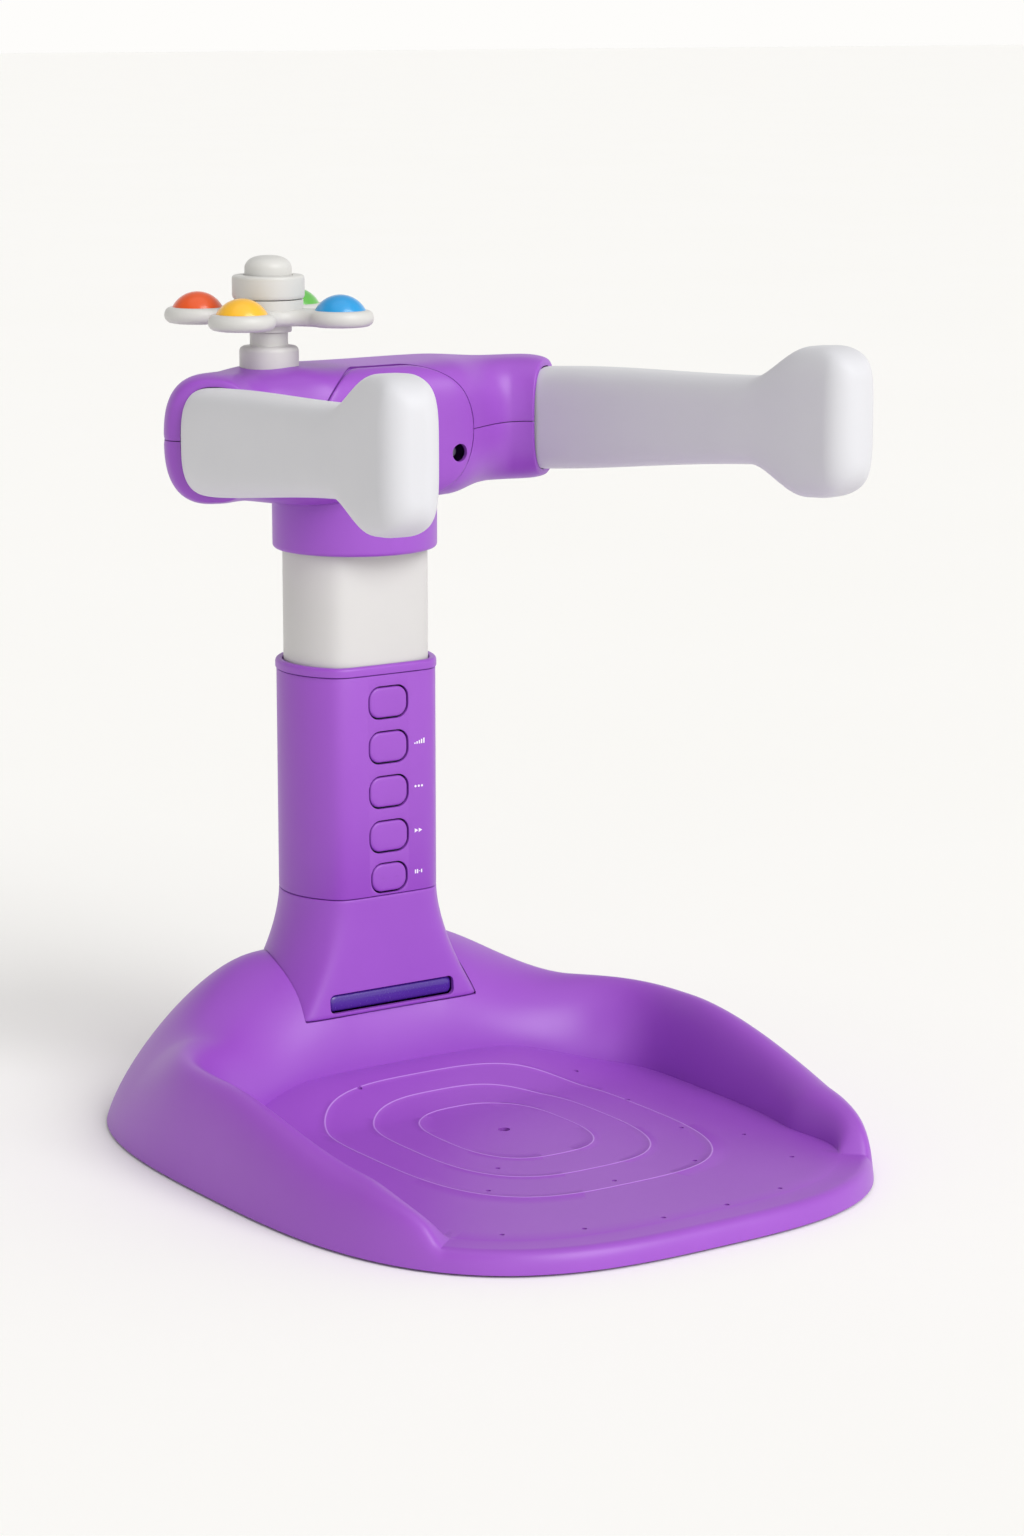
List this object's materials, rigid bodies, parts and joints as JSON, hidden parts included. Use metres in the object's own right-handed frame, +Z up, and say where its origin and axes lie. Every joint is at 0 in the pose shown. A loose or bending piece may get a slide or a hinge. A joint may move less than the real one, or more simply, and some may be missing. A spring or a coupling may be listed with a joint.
{
  "type": "activity jumper",
  "caption": "Walled foot tray with a push-button column, a sprung sliding head, two forward arms with T-shaped ends, and a turning four-petal toy.",
  "frame": {"origin": "middle of the object's outline, on the floor it stands on", "axes": "+X to the object's right, +Y to its back, -Y to its open front, +Z up"},
  "size_m": [0.5098, 0.6378, 0.704],
  "materials": {
    "purple": "satin moulded ABS",
    "indigo": "glossy moulded ABS",
    "white": "satin moulded plastic",
    "arm_white": "soft-touch moulded plastic",
    "charcoal": "matte moulded plastic",
    "rubber": "matte",
    "steel": "zinc-plated",
    "board": "solder-mask laminate",
    "battery": "printed wrap",
    "orange": "glossy moulded",
    "yellow": "glossy moulded",
    "blue": "glossy moulded",
    "green": "glossy moulded"
  },
  "bodies": {
    "root": {"base_tray": "purple", "bottom_cover": "charcoal", "rubber_feet": "rubber", "bottom_cover_screws": "steel", "column_socket": "charcoal", "socket_bolts": "steel", "pedestal": "purple", "release_bar_springs": "steel", "column_shell": "purple", "column_rear_cover": "purple", "rear_cover_screws": "steel", "bezel_ring": "purple", "circuit_board": "board", "button_switches": "charcoal", "speaker": "charcoal", "battery_box": "charcoal", "batteries": "battery", "battery_door": "purple", "mast_sleeve": "white", "mast_seat": "charcoal", "lower_guide_bush": "white", "bounce_spring": "steel"},
    "head": {"plunger_rod": "steel", "stop_washer": "rubber", "spring_cap": "charcoal", "head_plate": "steel", "collar": "purple", "collar_bush": "white", "bush_screw": "steel", "yoke_lower_shell": "purple", "yoke_upper_shell": "purple", "head_front_cover": "purple", "cover_screws": "steel", "left_arm_core": "steel", "right_arm_core": "steel", "left_arm_grip": "arm_white", "right_arm_grip": "arm_white", "spinner_base": "white", "spinner_axle": "steel"},
    "release_bar": {"release_bar": "indigo"},
    "spinner": {"spinner_petals": "white", "spinner_hub_ring": "white", "dome_orange": "orange", "dome_yellow": "yellow", "dome_blue": "blue", "dome_green": "green"},
    "spinner_knob": {"spinner_knob": "white"},
    "button_1": {"button_1": "purple"},
    "button_2": {"button_2": "purple"},
    "button_3": {"button_3": "purple"},
    "button_4": {"button_4": "purple"},
    "button_5": {"button_5": "purple"}
  },
  "joints": [
    {"name": "head_bounce", "type": "slide", "parent": "root", "child": "head", "axis": [0, 0, 1], "range_m": [-0.075, 0], "stiffness_N_per_m": 900, "springref_m": 0.06, "deforming": ["bounce_spring"]},
    {"name": "button_1_press", "type": "slide", "parent": "root", "child": "button_1", "axis": [0, 1, 0], "range_m": [0, 0.0018], "stiffness_N_per_m": 600, "springref_m": -0.0015},
    {"name": "button_2_press", "type": "slide", "parent": "root", "child": "button_2", "axis": [0, 1, 0], "range_m": [0, 0.0018], "stiffness_N_per_m": 600, "springref_m": -0.0015},
    {"name": "button_3_press", "type": "slide", "parent": "root", "child": "button_3", "axis": [0, 1, 0], "range_m": [0, 0.0018], "stiffness_N_per_m": 600, "springref_m": -0.0015},
    {"name": "button_4_press", "type": "slide", "parent": "root", "child": "button_4", "axis": [0, 1, 0], "range_m": [0, 0.0018], "stiffness_N_per_m": 600, "springref_m": -0.0015},
    {"name": "button_5_press", "type": "slide", "parent": "root", "child": "button_5", "axis": [0, 1, 0], "range_m": [0, 0.0018], "stiffness_N_per_m": 600, "springref_m": -0.0015},
    {"name": "release_bar_press", "type": "slide", "parent": "root", "child": "release_bar", "axis": [0, 1, 0], "range_m": [0, 0.004], "stiffness_N_per_m": 800, "springref_m": -0.0015},
    {"name": "spinner_turn", "type": "hinge", "parent": "head", "child": "spinner", "pos_m": [-0.08, 0.184, 0.66], "axis": [0, 0, 1], "continuous": true},
    {"name": "spinner_knob_press", "type": "slide", "parent": "spinner", "child": "spinner_knob", "axis": [0, 0, -1], "range_m": [0, 0.0028], "stiffness_N_per_m": 500, "springref_m": -0.0015}
  ]
}
